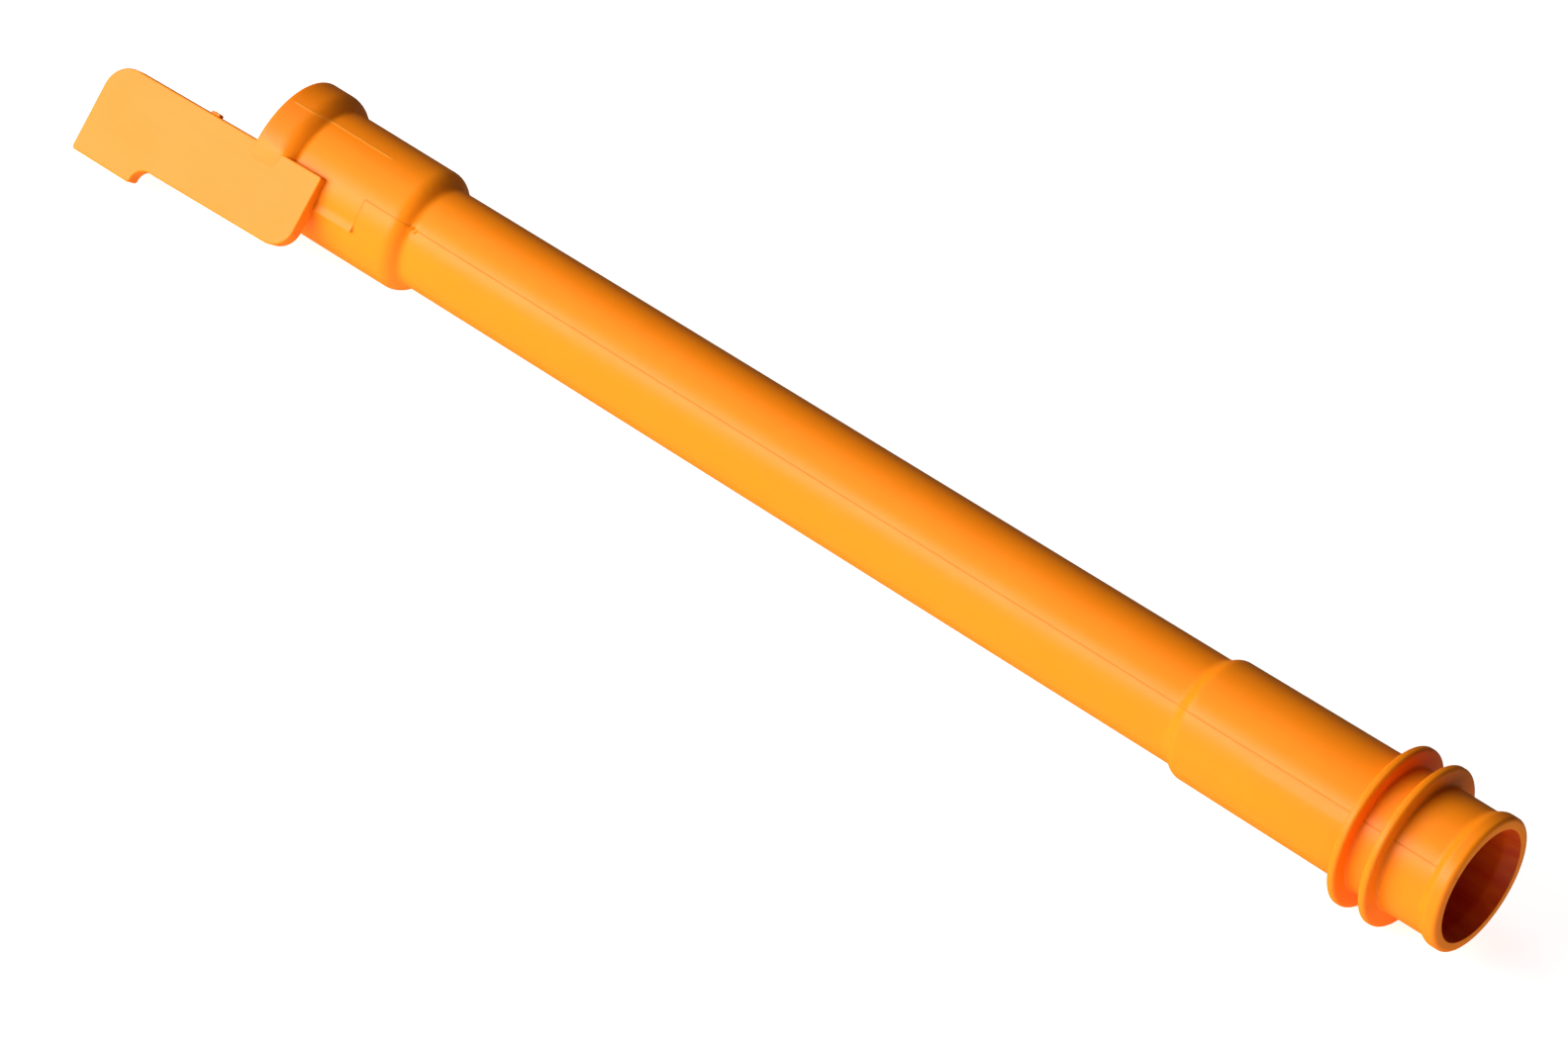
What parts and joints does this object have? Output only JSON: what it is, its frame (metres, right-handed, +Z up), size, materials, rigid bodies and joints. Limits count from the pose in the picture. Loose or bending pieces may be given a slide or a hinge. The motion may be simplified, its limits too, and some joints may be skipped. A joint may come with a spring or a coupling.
{
  "type": "oil dipstick tube",
  "caption": "Straight moulded guide tube for an engine oil dipstick, with a rimmed mouth and a flat side tab at one end and a ringed, lipped socket at the other.",
  "frame": {"origin": "centre of the box's bottom, on the surface that the tube lies on", "axes": "+X along the tube from the mouth to the socket's end, +Z up as it lies on its rings and the tab's foot"},
  "size_m": [0.2222, 0.0258, 0.0231],
  "materials": {
    "orange_plastic": "satin moulded orange plastic"
  },
  "bodies": {
    "root": {"dipstick_tube": "orange_plastic"}
  },
  "joints": []
}
